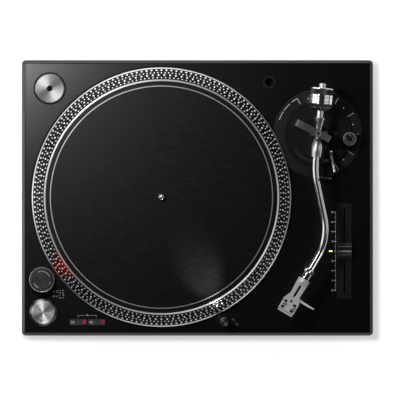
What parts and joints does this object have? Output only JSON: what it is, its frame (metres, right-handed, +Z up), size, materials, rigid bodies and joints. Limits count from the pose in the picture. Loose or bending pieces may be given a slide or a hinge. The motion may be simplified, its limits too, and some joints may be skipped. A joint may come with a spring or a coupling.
{
  "type": "direct drive turntable",
  "caption": "Direct drive DJ turntable: black plinth, strobe-rim platter with slipmat, S-shaped tonearm on a height-adjustable base, pitch fader, start and speed buttons, pop-up stylus lamp.",
  "frame": {"origin": "on the surface under the feet, below the middle of the plinth", "axes": "+X to the tonearm side, +Y to the back, +Z up"},
  "size_m": [0.45, 0.353, 0.1525],
  "materials": {
    "deck_black": "satin",
    "base_black": "matte",
    "foot_black": "matte",
    "pad_rubber": "matte",
    "screw_steel": "satin",
    "jack_gold": "polished",
    "socket_steel": "satin",
    "board_green": "matte",
    "coil_copper": "lacquered",
    "bearing_brass": "machined",
    "cast_grey": "as cast",
    "magnet_black": "sintered",
    "spindle_steel": "polished",
    "platter_metal": "machined",
    "mat_felt": "felt",
    "turned_metal": "turned",
    "knob_grey": "satin",
    "lens_red": "clear red",
    "lens_clear": "clear",
    "lens_green": "clear green",
    "button_grey": "satin",
    "trim_black": "gloss",
    "panel_black": "satin",
    "arm_black": "satin",
    "bridge_grey": "satin",
    "arm_chrome": "polished",
    "arm_satin": "satin",
    "shell_grey": "bead blasted",
    "cartridge_black": "gloss",
    "stylus_white": "satin",
    "weight_chrome": "polished",
    "dial_black": "matte",
    "lever_grey": "satin"
  },
  "bodies": {
    "chassis": {"plinth": "deck_black", "base_cover": "base_black", "base_screws": "screw_steel", "feet": "foot_black", "foot_pads": "pad_rubber", "rear_panel": "base_black", "rca_jacks": "jack_gold", "usb_port": "socket_steel", "ac_inlet": "trim_black", "motor_frame": "cast_grey", "bearing_housing": "bearing_brass", "stator_board": "board_green", "stator_coils": "coil_copper", "power_supply": "board_green", "main_board": "board_green", "strobe_tower": "trim_black", "strobe_lens": "lens_red", "start_bezel": "trim_black", "lamp_escutcheon": "trim_black", "pitch_panel": "panel_black", "fader_track": "socket_steel", "pitch_lamp": "lens_green", "headshell_stand": "trim_black", "arm_base_plate": "arm_black"},
    "platter": {"spindle": "spindle_steel", "rotor_magnet": "magnet_black", "platter": "platter_metal"},
    "slipmat": {"slipmat": "mat_felt"},
    "adaptor": {"adaptor_45": "turned_metal"},
    "power_knob": {"power_knob": "knob_grey"},
    "start_button": {"start_button": "turned_metal"},
    "speed_33": {"speed_button_33": "button_grey"},
    "speed_45": {"speed_button_45": "button_grey"},
    "stylus_lamp": {"stylus_lamp": "knob_grey", "lamp_lens": "lens_clear"},
    "lamp_button": {"lamp_button": "button_grey"},
    "fader": {"fader_knob": "button_grey"},
    "height_ring": {"height_ring": "arm_black"},
    "arm_base": {"arm_tower": "arm_black", "arm_bridge": "bridge_grey", "anti_skate_housing": "arm_black", "arm_rest": "arm_black"},
    "arm_yoke": {"gimbal_ring": "arm_satin"},
    "tonearm": {"arm_barrel": "arm_satin", "arm_tube": "arm_chrome", "headshell": "shell_grey", "finger_lift": "arm_satin", "cartridge": "cartridge_black", "stylus": "stylus_white", "cartridge_screws": "screw_steel"},
    "locking_collar": {"locking_collar": "arm_satin"},
    "weight_bush": {"weight_bush": "arm_satin"},
    "counterweight": {"counterweight": "weight_chrome"},
    "force_dial": {"force_dial": "dial_black"},
    "anti_skate_knob": {"anti_skate_knob": "knob_grey"},
    "arm_clip": {"arm_clip": "arm_black"},
    "cue_lever": {"cue_lever": "lever_grey"},
    "lift_platform": {"lift_platform": "arm_black"},
    "ground_nut": {"ground_nut": "screw_steel"},
    "line_switch": {"line_switch": "button_grey"}
  },
  "joints": [
    {"name": "platter_spin", "type": "hinge", "parent": "chassis", "child": "platter", "pos_m": [-0.046, 0.001, 0.1], "axis": [0, 0, 1], "continuous": true},
    {"name": "slipmat_slip", "type": "hinge", "parent": "platter", "child": "slipmat", "pos_m": [-0.046, 0.001, 0.108], "axis": [0, 0, 1], "continuous": true},
    {"name": "adaptor_lift", "type": "slide", "parent": "chassis", "child": "adaptor", "axis": [0, 0, 1], "range_m": [0, 0.03]},
    {"name": "power_turn", "type": "hinge", "parent": "chassis", "child": "power_knob", "pos_m": [-0.199, -0.1047, 0.108], "axis": [0, 0, 1], "range_deg": [0, 40]},
    {"name": "start_press", "type": "slide", "parent": "chassis", "child": "start_button", "axis": [0, 0, -1], "range_m": [0, 0.0015], "stiffness_N_per_m": 300},
    {"name": "speed_33_press", "type": "slide", "parent": "chassis", "child": "speed_33", "axis": [0, 0, -1], "range_m": [0, 0.0012], "stiffness_N_per_m": 300},
    {"name": "speed_45_press", "type": "slide", "parent": "chassis", "child": "speed_45", "axis": [0, 0, -1], "range_m": [0, 0.0012], "stiffness_N_per_m": 300},
    {"name": "lamp_pop", "type": "slide", "parent": "chassis", "child": "stylus_lamp", "axis": [0, 0, 1], "range_m": [-0.032, 0], "stiffness_N_per_m": 12, "springref_m": 0.03},
    {"name": "lamp_button_press", "type": "slide", "parent": "chassis", "child": "lamp_button", "axis": [0, 0, -1], "range_m": [0, 0.002], "stiffness_N_per_m": 300},
    {"name": "pitch_slide", "type": "slide", "parent": "chassis", "child": "fader", "axis": [0, 1, 0], "range_m": [-0.05, 0.05]},
    {"name": "height_turn", "type": "hinge", "parent": "chassis", "child": "height_ring", "pos_m": [0.154, 0.082, 0.096], "axis": [0, 0, 1], "range_deg": [0, 180]},
    {"name": "height_rise", "type": "slide", "parent": "chassis", "child": "arm_base", "axis": [0, 0, 1], "range_m": [0, 0.006], "stiffness_N_per_m": 40, "springref_m": 0.163},
    {"name": "arm_swing", "type": "hinge", "parent": "arm_base", "child": "arm_yoke", "pos_m": [0.154, 0.082, 0.135], "axis": [0, 0, 1], "range_deg": [-45, 0]},
    {"name": "arm_lift", "type": "hinge", "parent": "arm_yoke", "child": "tonearm", "pos_m": [0.154, 0.082, 0.135], "axis": [-0.996, 0.0896, 0], "range_deg": [-1.4, 14]},
    {"name": "lock_turn", "type": "hinge", "parent": "tonearm", "child": "locking_collar", "pos_m": [0.1402, -0.09735, 0.135], "axis": [-0.5075, -0.8616, 0], "range_deg": [0, 90]},
    {"name": "weight_slide", "type": "slide", "parent": "tonearm", "child": "weight_bush", "axis": [0.0896, 0.996, 0], "range_m": [-0.0051, 0.0051]},
    {"name": "weight_turn", "type": "hinge", "parent": "weight_bush", "child": "counterweight", "pos_m": [0.1583, 0.12981, 0.135], "axis": [0.0896, 0.996, 0], "range_deg": [-360, 360]},
    {"name": "dial_turn", "type": "hinge", "parent": "weight_bush", "child": "force_dial", "pos_m": [0.15696, 0.11487, 0.135], "axis": [0.0896, 0.996, 0], "continuous": true},
    {"name": "anti_skate_turn", "type": "hinge", "parent": "arm_base", "child": "anti_skate_knob", "pos_m": [0.1944, 0.0754, 0.114], "axis": [0, 0, 1], "range_deg": [0, 270]},
    {"name": "clip_swing", "type": "hinge", "parent": "arm_base", "child": "arm_clip", "pos_m": [0.15898, 0.03135, 0.1315], "axis": [0.0896, 0.996, 0], "range_deg": [-100, 0]},
    {"name": "cue_swing", "type": "hinge", "parent": "arm_base", "child": "cue_lever", "pos_m": [0.1685, 0.0575, 0.109], "axis": [-1, 0, 0], "range_deg": [-35, 0]},
    {"name": "cue_lift", "type": "slide", "parent": "arm_base", "child": "lift_platform", "axis": [0, 0, 1], "range_m": [-0.0061, 0]},
    {"name": "ground_turn", "type": "hinge", "parent": "chassis", "child": "ground_nut", "pos_m": [0.106, 0.163, 0.066], "axis": [0, 1, 0], "range_deg": [0, 720]},
    {"name": "line_select", "type": "slide", "parent": "chassis", "child": "line_switch", "axis": [1, 0, 0], "range_m": [0, 0.004]}
  ],
  "couplings": [
    {"joint": "height_rise", "follows": "height_turn", "m_per_rad": 0.0019098},
    {"joint": "weight_slide", "follows": "weight_turn", "m_per_rad": 0.00079577},
    {"joint": "cue_swing", "follows": "cue_lift", "rad_per_m": 100}
  ]
}
